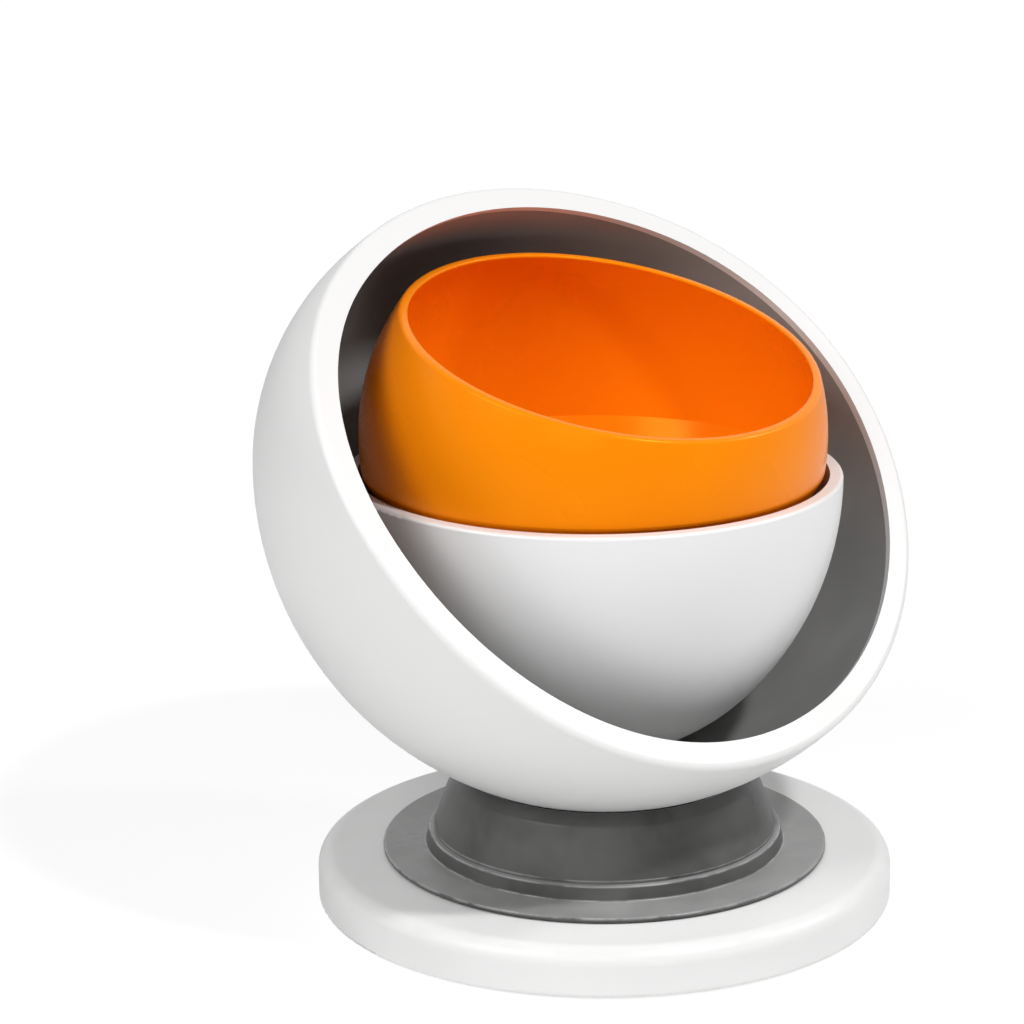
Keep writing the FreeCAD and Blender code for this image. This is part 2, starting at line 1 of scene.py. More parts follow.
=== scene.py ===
import bpy
import math
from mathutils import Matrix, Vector


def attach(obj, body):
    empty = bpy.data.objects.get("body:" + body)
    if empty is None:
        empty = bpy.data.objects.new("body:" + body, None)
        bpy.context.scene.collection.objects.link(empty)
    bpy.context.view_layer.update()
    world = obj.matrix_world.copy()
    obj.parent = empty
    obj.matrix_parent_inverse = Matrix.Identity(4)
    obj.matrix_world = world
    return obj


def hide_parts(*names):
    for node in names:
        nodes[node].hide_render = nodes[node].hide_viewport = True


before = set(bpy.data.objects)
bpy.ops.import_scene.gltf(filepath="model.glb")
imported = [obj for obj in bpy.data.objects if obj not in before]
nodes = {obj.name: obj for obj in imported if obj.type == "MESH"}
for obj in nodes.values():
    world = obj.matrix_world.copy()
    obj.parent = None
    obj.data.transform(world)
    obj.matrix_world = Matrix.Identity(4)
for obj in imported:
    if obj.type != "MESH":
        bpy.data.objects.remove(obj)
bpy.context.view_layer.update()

# White base disc
# A shallow injection-moulded disc in white plastic with a softly rounded edge, hollow and ribbed
# below. Its polished mould leaves a faint orange peel, and handling dulls it in patches.


def new_group(name, inputs, outputs, kind="ShaderNodeTree"):
    """Node group with named sockets; returns the group, its input node and its output node."""
    group = bpy.data.node_groups.new(name, kind)
    for label, socket_kind, default in inputs:
        socket = group.interface.new_socket(label, in_out="INPUT", socket_type=socket_kind)
        if default is not None:
            socket.default_value = default
    for label, socket_kind in outputs:
        group.interface.new_socket(label, in_out="OUTPUT", socket_type=socket_kind)
    return group, group.nodes.new("NodeGroupInput"), group.nodes.new("NodeGroupOutput")


def add(tree, kind, links=(), **settings):
    """New node with its settings; links are (input, output socket or plain value) pairs."""
    node = tree.nodes.new(kind)
    for key, value in settings.items():
        setattr(node, key, value)
    for key, source in links:
        if isinstance(source, bpy.types.NodeSocket):
            tree.links.new(source, node.inputs[key])
        else:
            node.inputs[key].default_value = source
    return node


def calc(tree, operation, first, second=0.0):
    """Math node on two sockets or values."""
    return add(tree, "ShaderNodeMath", [(0, first), (1, second)], operation=operation).outputs[0]


def ramp(tree, value, low, high):
    """Value that runs smoothly from 0 at low to 1 at high."""
    return add(tree, "ShaderNodeMapRange", [
        ("Value", value), ("From Min", low), ("From Max", high)],
        interpolation_type="SMOOTHSTEP").outputs["Result"]


def blend_colour(tree, share, first, second):
    """Mix of two colours, each a socket or a plain red, green, blue, alpha value."""
    return add(tree, "ShaderNodeMix", [(0, share), (6, first), (7, second)],
               data_type="RGBA").outputs[2]


def noise(tree, place, scale, detail, roughness=0.5, distortion=0.0):
    """Noise at a place, from 0 to 1."""
    return add(tree, "ShaderNodeTexNoise", [
        ("Vector", place), ("Scale", scale), ("Detail", detail), ("Roughness", roughness),
        ("Distortion", distortion)]).outputs["Fac"]


def moulded_skin_group():
    """Moulded plastic: slow cloudy patches, orange peel and fine dust specks."""
    group, given, result = new_group("moulded_skin", [
        ("Colour", "NodeSocketColor", (0.8, 0.8, 0.8, 1)),
        ("Patch Colour", "NodeSocketColor", (0.7, 0.7, 0.7, 1)),
        ("Patches per Metre", "NodeSocketFloat", 20.0),
        ("Patch Strength", "NodeSocketFloat", 0.5),
        ("Peel per Metre", "NodeSocketFloat", 900.0),
        ("Peel Strength", "NodeSocketFloat", 0.5),
        ("Roughness", "NodeSocketFloat", 0.3),
        ("Roughness Spread", "NodeSocketFloat", 0.1),
    ], [
        ("Colour", "NodeSocketColor"),
        ("Roughness", "NodeSocketFloat"),
        ("Height", "NodeSocketFloat"),
    ])
    speck_tint = 0.12
    speck_dulling = 0.08
    speck_rise = 0.15
    place = add(group, "ShaderNodeTexCoord").outputs["Object"]
    cloud = noise(group, place, given.outputs["Patches per Metre"], detail=3.0, distortion=0.3)
    cloud = ramp(group, cloud, 0.3, 0.7)
    peel = noise(group, place, given.outputs["Peel per Metre"], detail=2.0)
    specks_size = calc(group, "MULTIPLY", given.outputs["Peel per Metre"], 2.4)
    specks = ramp(group, noise(group, place, specks_size, detail=1.0), 0.66, 0.76)
    share = calc(group, "MULTIPLY", cloud, given.outputs["Patch Strength"])
    share = calc(group, "ADD", share, calc(group, "MULTIPLY", specks, speck_tint))
    colour = blend_colour(group, share, given.outputs["Colour"], given.outputs["Patch Colour"])
    swing = calc(group, "MULTIPLY", calc(group, "SUBTRACT", cloud, 0.5),
                 given.outputs["Roughness Spread"])
    rough = calc(group, "ADD", given.outputs["Roughness"], swing)
    rough = calc(group, "ADD", rough, calc(group, "MULTIPLY", specks, speck_dulling))
    height = calc(group, "MULTIPLY", peel, given.outputs["Peel Strength"])
    height = calc(group, "ADD", height, calc(group, "MULTIPLY", specks, speck_rise))
    group.links.new(colour, result.inputs["Colour"])
    group.links.new(rough, result.inputs["Roughness"])
    group.links.new(height, result.inputs["Height"])
    return group


def edge_wear_and_highlight_group():
    """A broken line along one turned edge, as a mask: rubbed wear on the pad, painted highlights on
    the pedestal and the bowl's lip, a darker line on the base.
    """
    group, given, result = new_group("edge_wear_and_highlight", [
        ("Edge Radius", "NodeSocketFloat", 0.05),
        ("Edge Height", "NodeSocketFloat", 0.02),
        ("Edge Width", "NodeSocketFloat", 0.001),
        ("Setback", "NodeSocketFloat", 0.0),
        ("Breaks per Metre", "NodeSocketFloat", 120.0),
    ], [("Mask", "NodeSocketFloat")])
    place = add(group, "ShaderNodeTexCoord").outputs["Object"]
    parts = add(group, "ShaderNodeSeparateXYZ", [(0, place)]).outputs
    across = calc(group, "POWER", parts["X"], 2.0)
    deep = calc(group, "POWER", calc(group, "SUBTRACT", parts["Y"], given.outputs["Setback"]), 2.0)
    radius = calc(group, "SQRT", calc(group, "ADD", across, deep))
    out = calc(group, "POWER", calc(group, "SUBTRACT", radius, given.outputs["Edge Radius"]), 2.0)
    rise = calc(group, "SUBTRACT", parts["Z"], given.outputs["Edge Height"])
    up = calc(group, "POWER", rise, 2.0)
    away = calc(group, "SQRT", calc(group, "ADD", out, up))
    near = calc(group, "DIVIDE", away, given.outputs["Edge Width"])
    line = calc(group, "MAXIMUM", calc(group, "SUBTRACT", 1.0, near), 0.0)
    breaks = ramp(group, noise(group, place, given.outputs["Breaks per Metre"], 3.0), 0.3, 0.62)
    mask = calc(group, "MULTIPLY", line, breaks)
    group.links.new(mask, result.inputs["Mask"])
    return group


moulded_skin = moulded_skin_group()
edge_wear_and_highlight = edge_wear_and_highlight_group()


def new_material(name):
    """Empty material with a Principled surface; returns the material, its tree and the surface."""
    material = bpy.data.materials.new(name)
    material.use_nodes = True
    tree = material.node_tree
    tree.nodes.clear()
    surface = tree.nodes.new("ShaderNodeBsdfPrincipled")
    output = tree.nodes.new("ShaderNodeOutputMaterial")
    tree.links.new(surface.outputs["BSDF"], output.inputs["Surface"])
    return material, tree, surface


def plastic(name, values, bump_depth, edges=(), edge_colour=(0.9, 0.9, 0.9, 1), edge_shine=0.1):
    """Moulded plastic with the shared skin and edge lines (radius, height, width, setback); the
    lines carry rubbed wear on some pieces and painted highlights on others.
    """
    material, tree, surface = new_material(name)
    skin = add(tree, "ShaderNodeGroup", node_tree=moulded_skin)
    for key, value in values.items():
        skin.inputs[key].default_value = value
    colour = skin.outputs["Colour"]
    rough = skin.outputs["Roughness"]
    for radius, height, width, setback in edges:
        edge_line = add(tree, "ShaderNodeGroup", node_tree=edge_wear_and_highlight)
        edge_line.inputs["Edge Radius"].default_value = radius
        edge_line.inputs["Edge Height"].default_value = height
        edge_line.inputs["Edge Width"].default_value = width
        edge_line.inputs["Setback"].default_value = setback
        colour = blend_colour(tree, edge_line.outputs["Mask"], colour, edge_colour)
        shine = calc(tree, "MULTIPLY", edge_line.outputs["Mask"], edge_shine)
        rough = calc(tree, "SUBTRACT", rough, shine)
    bump = add(tree, "ShaderNodeBump", [("Height", skin.outputs["Height"]),
                                        ("Distance", bump_depth), ("Strength", 1.0)])
    tree.links.new(colour, surface.inputs["Base Color"])
    tree.links.new(rough, surface.inputs["Roughness"])
    tree.links.new(bump.outputs["Normal"], surface.inputs["Normal"])
    return material, tree, surface


def dress(node, material):
    """Give a carried-over piece its finish, on the object's own material slot."""
    target = nodes[node]
    for place in target.material_slots:
        place.link = "OBJECT"
        place.material = material


base_white = plastic("base_white", {
    "Colour": (0.845, 0.843, 0.84, 1), "Patch Colour": (0.825, 0.823, 0.82, 1),
    "Patches per Metre": 26.0, "Patch Strength": 0.6, "Peel per Metre": 700.0,
    "Peel Strength": 0.5, "Roughness": 0.42, "Roughness Spread": 0.12}, 0.00002,
    edges=[(0.0867, 0.0140, 0.0022, 0.0), (0.0876, 0.0012, 0.0014, 0.0)],
    edge_colour=(0.80, 0.795, 0.785, 1))[0]
dress("base_disc", base_white)

# Soft pad, closing plate and its screws
# The plate closes the base from below, held by four pan-head screws with a cross recess, and the
# dark elastomer pad under it keeps the organizer from sliding.
pad_black = plastic("pad_black", {
    "Colour": (0.03, 0.03, 0.032, 1), "Patch Colour": (0.05, 0.05, 0.05, 1),
    "Patches per Metre": 60.0, "Patch Strength": 0.5, "Peel per Metre": 1500.0,
    "Peel Strength": 1.0, "Roughness": 0.75, "Roughness Spread": 0.15}, 0.0001,
    edges=[(0.0842, 0.0, 0.0016, 0.0)], edge_colour=(0.09, 0.09, 0.088, 1))[0]
for name in ("anti_slip_pad", "cup_pad", "seat_ring"):
    dress(name, pad_black)
plate_grey = plastic("plate_grey", {
    "Colour": (0.35, 0.35, 0.345, 1), "Patch Colour": (0.28, 0.28, 0.28, 1),
    "Patches per Metre": 40.0, "Patch Strength": 0.5, "Peel per Metre": 900.0,
    "Peel Strength": 0.8, "Roughness": 0.5, "Roughness Spread": 0.1}, 0.00004)[0]
dress("base_bottom_plate", plate_grey)


def turned_steel(name, colour, roughness, marks_per_metre, mark_depth):
    """Steel with fine concentric tool marks about the upright axis."""
    material, tree, surface = new_material(name)
    place = add(tree, "ShaderNodeTexCoord").outputs["Object"]
    rings = add(tree, "ShaderNodeTexWave", [
        ("Vector", place), ("Scale", marks_per_metre), ("Distortion", 0.4), ("Detail", 1.0)],
        wave_type="RINGS", rings_direction="Z").outputs["Fac"]
    stain_shade = 0.72
    stain_dulling = 0.16
    stain = noise(tree, place, scale=70.0, detail=4.0)
    stained = tuple(part * stain_shade for part in colour)
    tint = blend_colour(tree, stain, colour + (1,), stained + (1,))
    rough = calc(tree, "ADD", calc(tree, "MULTIPLY", stain, stain_dulling), roughness)
    bump = add(tree, "ShaderNodeBump", [("Height", rings), ("Distance", mark_depth)])
    tree.links.new(tint, surface.inputs["Base Color"])
    tree.links.new(rough, surface.inputs["Roughness"])
    tree.links.new(bump.outputs["Normal"], surface.inputs["Normal"])
    surface.inputs["Metallic"].default_value = 1.0
    return material


zinc_steel = turned_steel("zinc_steel", (0.62, 0.63, 0.64), 0.28, 300.0, 0.00001)


def turned_form_tree():
    """Turns a side view about the upright axis; the start mesh holds its points in order."""
    tree, given, result = new_group("turned_form", [
        ("Geometry", "NodeSocketGeometry", None),
        ("Steps Around", "NodeSocketInt", 96),
        ("Sharp Angle", "NodeSocketFloat", 0.5),
    ], [("Geometry", "NodeSocketGeometry")], "GeometryNodeTree")
    steps = given.outputs["Steps Around"]
    outline = given.outputs["Geometry"]
    rows = add(tree, "GeometryNodeAttributeDomainSize", [("Geometry", outline)],
               component="MESH").outputs["Point Count"]
    columns = calc(tree, "ADD", steps, 1.0)
    sheet = add(tree, "GeometryNodeMeshGrid", [("Vertices X", columns), ("Vertices Y", rows)])
    index = add(tree, "GeometryNodeInputIndex").outputs[0]
    column = calc(tree, "FLOOR", calc(tree, "DIVIDE", calc(tree, "ADD", index, 0.5), rows))
    row = calc(tree, "SUBTRACT", index, calc(tree, "MULTIPLY", column, rows))
    spot = add(tree, "GeometryNodeSampleIndex", [
        ("Geometry", outline), ("Value", add(tree, "GeometryNodeInputPosition").outputs[0]),
        ("Index", row)], data_type="FLOAT_VECTOR", domain="POINT").outputs[0]
    spot = add(tree, "ShaderNodeSeparateXYZ", [(0, spot)]).outputs
    turn = calc(tree, "MULTIPLY", calc(tree, "DIVIDE", column, steps), 2.0 * math.pi)
    place = add(tree, "ShaderNodeCombineXYZ", [
        ("X", calc(tree, "MULTIPLY", spot["X"], calc(tree, "COSINE", turn))),
        ("Y", calc(tree, "MULTIPLY", spot["X"], calc(tree, "SINE", turn))),
        ("Z", spot["Z"])]).outputs[0]
    form = add(tree, "GeometryNodeSetPosition", [("Geometry", sheet.outputs["Mesh"]),
                                                 ("Position", place)]).outputs[0]
    form = add(tree, "GeometryNodeMergeByDistance", [("Geometry", form),
                                                     ("Distance", 0.000001)]).outputs[0]
    form = add(tree, "GeometryNodeSetShadeSmooth", [("Geometry", form)], domain="FACE").outputs[0]
    bend = add(tree, "GeometryNodeInputMeshEdgeAngle").outputs["Unsigned Angle"]
    sharp = add(tree, "FunctionNodeCompare", [(0, bend), (1, given.outputs["Sharp Angle"])],
                operation="GREATER_THAN").outputs[0]
    form = add(tree, "GeometryNodeSetShadeSmooth", [
        ("Geometry", form), ("Selection", sharp), ("Shade Smooth", False)],
        domain="EDGE").outputs[0]
    tree.links.new(form, result.inputs[0])
    return tree


def ring_of(tree, item, count, radius, first_angle, setback, turns=None):
    """Copies of an item at even steps on a circle; turns says how far each is turned."""
    circle = add(tree, "GeometryNodeMeshCircle", [("Vertices", count), ("Radius", radius)])
    aim = add(tree, "ShaderNodeCombineXYZ", [("Z", first_angle)]).outputs[0]
    move = add(tree, "ShaderNodeCombineXYZ", [("Y", setback)]).outputs[0]
    if turns is None:
        step = calc(tree, "DIVIDE", 2.0 * math.pi, count)
        index = add(tree, "GeometryNodeInputIndex").outputs[0]
        turns = calc(tree, "MULTIPLY", index, step)
    turn = add(tree, "ShaderNodeCombineXYZ", [("Z", turns)]).outputs[0]
    copies = add(tree, "GeometryNodeInstanceOnPoints", [
        ("Points", circle.outputs[0]), ("Instance", item), ("Rotation", turn)]).outputs[0]
    return add(tree, "GeometryNodeTransform", [
        ("Geometry", copies), ("Translation", move), ("Rotation", aim)]).outputs[0]


def finish_tree(tree, form, given, result):
    """Ends a tree: instances made real, material set."""
    real = add(tree, "GeometryNodeRealizeInstances", [("Geometry", form)]).outputs[0]
    coated = add(tree, "GeometryNodeSetMaterial", [
        ("Geometry", real), ("Material", given.outputs["Material"])]).outputs[0]
    tree.links.new(coated, result.inputs[0])


def cross_screws_tree():
    """Ring of pan-head screws: a turned screw, a cross recess cut in its head, and its copies."""
    tree, given, result = new_group("cross_screws", [
        ("Geometry", "NodeSocketGeometry", None),
        ("Count", "NodeSocketInt", 4),
        ("Ring Radius", "NodeSocketFloat", 0.05),
        ("First Angle", "NodeSocketFloat", 0.0),
        ("Setback", "NodeSocketFloat", 0.0),
        ("Head Top", "NodeSocketFloat", 0.0),
        ("Recess Length", "NodeSocketFloat", 0.0034),
        ("Recess Width", "NodeSocketFloat", 0.0008),
        ("Recess Depth", "NodeSocketFloat", 0.0011),
        ("Seed", "NodeSocketInt", 7),
        ("Material", "NodeSocketMaterial", None),
    ], [("Geometry", "NodeSocketGeometry")], "GeometryNodeTree")
    screw = add(tree, "GeometryNodeGroup", node_tree=turned_form)
    tree.links.new(given.outputs["Geometry"], screw.inputs["Geometry"])
    screw.inputs["Steps Around"].default_value = 28
    depth = calc(tree, "MULTIPLY", given.outputs["Recess Depth"], 2.0)
    size = add(tree, "ShaderNodeCombineXYZ", [
        ("X", given.outputs["Recess Length"]), ("Y", given.outputs["Recess Width"]),
        ("Z", depth)]).outputs[0]
    bar = add(tree, "GeometryNodeMeshCube", [("Size", size)]).outputs[0]
    lift = add(tree, "ShaderNodeCombineXYZ", [("Z", given.outputs["Head Top"])]).outputs[0]
    bar = add(tree, "GeometryNodeTransform", [("Geometry", bar), ("Translation", lift)]).outputs[0]
    across = add(tree, "GeometryNodeTransform", [
        ("Geometry", bar), ("Rotation", (0, 0, math.pi / 2))]).outputs[0]
    cut = add(tree, "GeometryNodeMeshBoolean", [("Mesh 1", screw.outputs[0])],
              operation="DIFFERENCE", solver="EXACT")
    tree.links.new(bar, cut.inputs["Mesh 2"])
    tree.links.new(across, cut.inputs["Mesh 2"])
    chance = add(tree, "FunctionNodeRandomValue", [
        (2, 0.0), (3, math.pi), ("Seed", given.outputs["Seed"])], data_type="FLOAT").outputs[1]
    screws = ring_of(tree, cut.outputs[0], given.outputs["Count"], given.outputs["Ring Radius"],
                     given.outputs["First Angle"], given.outputs["Setback"], chance)
    finish_tree(tree, screws, given, result)
    return tree


turned_form = turned_form_tree()
cross_screws = cross_screws_tree()


def side_view(name, points):
    """Start mesh that holds the points (radius, height) of a side view, in order."""
    mesh = bpy.data.meshes.new(name)
    mesh.from_pydata([(radius, 0, height) for radius, height in points], [], [])
    return mesh


def made(name, start, tree, values, body, node):
    """Piece that a node tree makes from a start mesh, as a plain mesh in place of a CAD node."""
    piece = bpy.data.objects.new(name, start)
    bpy.context.scene.collection.objects.link(piece)
    modifier = piece.modifiers.new(name, "NODES")
    modifier.node_group = tree
    for socket in tree.interface.items_tree:
        if socket.in_out == "INPUT" and socket.name in values:
            modifier[socket.identifier] = values[socket.name]
    shown = piece.evaluated_get(bpy.context.evaluated_depsgraph_get())
    finished = bpy.data.meshes.new_from_object(shown)
    piece.modifiers.clear()
    piece.data = finished
    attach(piece, body)
    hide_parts(node)


head_height = 0.0019
thread_radius = 0.0016
root_radius = 0.0013
thread_pitch = 0.0011


def screw_view(seat, tip):
    """Side view of a pan-head screw, from the middle of its head down its threads to the tip."""
    sign = 1.0 if seat > tip else -1.0
    head = [(0.0, head_height), (0.0014, 0.00186), (0.0023, 0.0016), (0.0029, 0.0011),
            (0.0031, 0.0005), (0.0031, 0.0)]
    view = [(radius, seat + sign * rise) for radius, rise in head]
    thread_start = seat - sign * 0.0015
    view.append((thread_radius, seat))
    view.append((thread_radius, thread_start))
    turns = int((abs(seat - tip) - 0.0035) / thread_pitch)
    for turn in range(turns):
        ridge = thread_start - sign * thread_pitch * turn
        view.append((thread_radius, ridge - sign * thread_pitch * 0.15))
        view.append((root_radius, ridge - sign * thread_pitch * 0.5))
        view.append((root_radius, ridge - sign * thread_pitch * 0.8))
    view.append((0.0011, tip + sign * 0.0010))
    view.append((0.0, tip))
    return view if sign < 0 else view[::-1]


def screw_ring(name, count, radius, first_angle, setback, seat, tip, body, node):
    """Ring of the same screws in place of a CAD node."""
    sign = 1.0 if seat > tip else -1.0
    made(name, side_view(name, screw_view(seat, tip)), cross_screws, {
        "Count": count, "Ring Radius": radius, "First Angle": math.radians(first_angle),
        "Setback": setback, "Head Top": seat + sign * head_height, "Material": zinc_steel},
        body, node)


screw_ring("plate_screws_crossed", 4, 0.0710, 45.0, 0.0, 0.0033, 0.0103, "base",
           "base_plate_screws")

# Ballast ring, ball race and pivot
# The ballast is a cast ring. Sixteen bright balls run in a flat cage between two ground races, and
# a zinc-plated bolt, washer and nut hold the pedestal down on its acetal bush.
ground_steel = turned_steel("ground_steel", (0.58, 0.58, 0.57), 0.12, 900.0, 0.00001)
cast_steel = turned_steel("cast_steel", (0.30, 0.30, 0.30), 0.45, 220.0, 0.00003)
acetal = plastic("acetal", {
    "Colour": (0.72, 0.71, 0.66, 1), "Patch Colour": (0.66, 0.65, 0.60, 1),
    "Patches per Metre": 60.0, "Patch Strength": 0.5, "Peel per Metre": 900.0,
    "Peel Strength": 0.4, "Roughness": 0.35, "Roughness Spread": 0.1}, 0.00002)[0]
dress("ballast_ring", cast_steel)
for name in ("lower_race", "upper_race"):
    dress(name, ground_steel)
for name in ("pivot_bolt", "pivot_washer", "pivot_nut"):
    dress(name, zinc_steel)
for name in ("ball_cage", "pivot_bush", "cup_seat"):
    dress(name, acetal)


def ball_ring_tree():
    """Ring of balls for a race, one in each pocket of the cage."""
    tree, given, result = new_group("ball_ring", [
        ("Geometry", "NodeSocketGeometry", None),
        ("Count", "NodeSocketInt", 16),
        ("Ring Radius", "NodeSocketFloat", 0.037),
        ("Ball Radius", "NodeSocketFloat", 0.0025),
        ("Ball Height", "NodeSocketFloat", 0.01648),
        ("Material", "NodeSocketMaterial", None),
    ], [("Geometry", "NodeSocketGeometry")], "GeometryNodeTree")
    ball = add(tree, "GeometryNodeMeshUVSphere", [
        ("Segments", 24), ("Rings", 12), ("Radius", given.outputs["Ball Radius"])]).outputs[0]
    ball = add(tree, "GeometryNodeSetShadeSmooth", [("Geometry", ball)]).outputs[0]
    balls = ring_of(tree, ball, given.outputs["Count"], given.outputs["Ring Radius"], 0.0, 0.0)
    lift = add(tree, "ShaderNodeCombineXYZ", [("Z", given.outputs["Ball Height"])]).outputs[0]
    balls = add(tree, "GeometryNodeTransform", [("Geometry", balls),
                                                ("Translation", lift)]).outputs[0]
    finish_tree(tree, balls, given, result)
    return tree


made("race_balls", bpy.data.meshes.new("race_balls"), ball_ring_tree(), {
    "Count": 16, "Ring Radius": 0.037, "Ball Radius": 0.0025, "Ball Height": 0.01648,
    "Material": ground_steel}, "ball_set", "bearing_balls")

# Grey pedestal
# A hollow round moulding in dark satin grey: flange, collar with a ledge, and a narrowing neck. The
# flow of the melt leaves its skin cloudy.
# Its fine edges carry painted highlight lines, broken like rubbed wear, and its near-black sides
# are partly its own grey and partly painted shade under the globe.
flange_radius = 0.0681
collar_foot_radius = 0.0551
collar_top_radius = 0.0541
ledge_radius = 0.0524
flange_low = 0.0159
flange_top = 0.0173
collar_top = 0.0217
groove_top = 0.0224
deck_low = 0.0282
seat_low = 0.03406
boss_ring_radius = 0.02296


def soft_outline(corners):
    """Points of a closed outline whose corners (radius, height, round) are rounded by an arc."""
    arc_steps = 5
    lead = 1.4
    points = []
    for number, (radius, height, soft) in enumerate(corners):
        corner = Vector((radius, height))
        if soft == 0:
            points.append(corner)
            continue
        before = (Vector(corners[number - 1][:2]) - corner).normalized()
        after = (Vector(corners[(number + 1) % len(corners)][:2]) - corner).normalized()
        half = before.angle(after) / 2
        reach = soft / math.tan(half)
        middle = corner + (before + after).normalized() * soft / math.sin(half)
        first = corner + before * reach - middle
        last = corner + after * reach - middle
        points.append(corner + before * reach * lead)
        for step in range(arc_steps + 1):
            share = step / arc_steps
            points.append(middle + (first * (1 - share) + last * share).normalized() * soft)
        points.append(corner + after * reach * lead)
    return [(point.x, point.y) for point in points + points[:1]]


def arc_between(start, middle, end, steps):
    """Points strictly between start and end on the circle through three points."""
    a, b, c = Vector(start), Vector(middle), Vector(end)
    d = 2 * (a.x * (b.y - c.y) + b.x * (c.y - a.y) + c.x * (a.y - b.y))
    centre = Vector((
        (a.length_squared * (b.y - c.y) + b.length_squared * (c.y - a.y)
         + c.length_squared * (a.y - b.y)) / d,
        (a.length_squared * (c.x - b.x) + b.length_squared * (a.x - c.x)
         + c.length_squared * (b.x - a.x)) / d))
    size = (a - centre).length
    points = []
    for step in range(1, steps):
        share = step / steps
        point = centre + ((a - centre) * (1 - share) + (c - centre) * share).normalized() * size
        points.append((point.x, point.y, 0))
    return points


neck_foot = (0.0526, groove_top)
neck_middle = (0.0504, 0.0290)
neck_shoulder = (0.0470, 0.0375)
pedestal_view = soft_outline(
    [(flange_radius, flange_low, 0.0002), (flange_radius, flange_top, 0.00045),
     (collar_foot_radius, flange_top, 0.0004), (collar_top_radius, collar_top, 0.0006),
     (ledge_radius, collar_top, 0.00012), (0.0522, groove_top, 0.00012),
     neck_foot + (0.00016,)]
    + arc_between(neck_foot, neck_middle, neck_shoulder, 14)
    + [neck_shoulder + (0.003,), (0.0440, 0.04095, 0.0002), (0.0400, 0.03932, 0),
       (0.0400, 0.03706, 0), (0.0340, 0.03706, 0), (0.0280, 0.0312, 0), (0.01406, 0.0312, 0),
       (0.01406, 0.0207, 0), (0.01206, 0.0207, 0), (0.01206, 0.0163, 0), (0.01666, 0.0163, 0),
       (0.01666, deck_low, 0), (0.0280, deck_low, 0), (0.0340, seat_low, 0), (0.0419, seat_low, 0),
       (0.0483, collar_top, 0), (0.0495, flange_low, 0)])


def round_pedestal_tree():
    """Turned body with radial ribs in its hollow and screw bosses on its deck."""
    tree, given, result = new_group("round_pedestal", [
        ("Geometry", "NodeSocketGeometry", None),
        ("Rib Count", "NodeSocketInt", 8),
        ("Rib Thickness", "NodeSocketFloat", 0.0018),
        ("Rib Inside", "NodeSocketFloat", 0.0134),
        ("Rib Step", "NodeSocketFloat", 0.0331),
        ("Rib Outside", "NodeSocketFloat", 0.0480),
        ("Rib Low", "NodeSocketFloat", 0.01886),
        ("Rib Step Low", "NodeSocketFloat", 0.02046),
        ("Rib High", "NodeSocketFloat", 0.0285),
        ("Rib Angle", "NodeSocketFloat", math.radians(22.5)),
        ("Boss Count", "NodeSocketInt", 4),
        ("Boss Radius", "NodeSocketFloat", 0.0044),
        ("Boss Ring", "NodeSocketFloat", boss_ring_radius),
        ("Boss High", "NodeSocketFloat", 0.0331),
        ("Boss Angle", "NodeSocketFloat", math.radians(45.0)),
        ("Material", "NodeSocketMaterial", None),
    ], [("Geometry", "NodeSocketGeometry")], "GeometryNodeTree")
    body = add(tree, "GeometryNodeGroup", node_tree=turned_form)
    tree.links.new(given.outputs["Geometry"], body.inputs["Geometry"])
    body.inputs["Steps Around"].default_value = 256
    joined = add(tree, "GeometryNodeJoinGeometry")
    tree.links.new(body.outputs[0], joined.inputs[0])
    high = given.outputs["Rib High"]
    for inside, outside, low in (("Rib Inside", "Rib Step", "Rib Low"),
                                 ("Rib Step", "Rib Outside", "Rib Step Low")):
        length = calc(tree, "SUBTRACT", given.outputs[outside], given.outputs[inside])
        tall = calc(tree, "SUBTRACT", high, given.outputs[low])
        size = add(tree, "ShaderNodeCombineXYZ", [
            ("X", length), ("Y", given.outputs["Rib Thickness"]), ("Z", tall)]).outputs[0]
        rib = add(tree, "GeometryNodeMeshCube", [("Size", size)]).outputs[0]
        lift = add(tree, "ShaderNodeCombineXYZ", [
            ("Z", calc(tree, "SUBTRACT", high, calc(tree, "MULTIPLY", tall, 0.5)))]).outputs[0]
        rib = add(tree, "GeometryNodeTransform", [("Geometry", rib),
                                                  ("Translation", lift)]).outputs[0]
        middle = calc(tree, "ADD", given.outputs[inside], calc(tree, "MULTIPLY", length, 0.5))
        ribs = ring_of(tree, rib, given.outputs["Rib Count"], middle, given.outputs["Rib Angle"],
                       0.0)
        tree.links.new(ribs, joined.inputs[0])
    tall = calc(tree, "SUBTRACT", given.outputs["Boss High"], high)
    boss = add(tree, "GeometryNodeMeshCylinder", [
        ("Vertices", 32), ("Radius", given.outputs["Boss Radius"]), ("Depth", tall)]).outputs[0]
    lift = add(tree, "ShaderNodeCombineXYZ", [
        ("Z", calc(tree, "ADD", high, calc(tree, "MULTIPLY", tall, 0.5)))]).outputs[0]
    boss = add(tree, "GeometryNodeTransform", [("Geometry", boss),
                                               ("Translation", lift)]).outputs[0]
    bosses = ring_of(tree, boss, given.outputs["Boss Count"], given.outputs["Boss Ring"],
                     given.outputs["Boss Angle"], 0.0)
    tree.links.new(bosses, joined.inputs[0])
    finish_tree(tree, joined.outputs[0], given, result)
    return tree


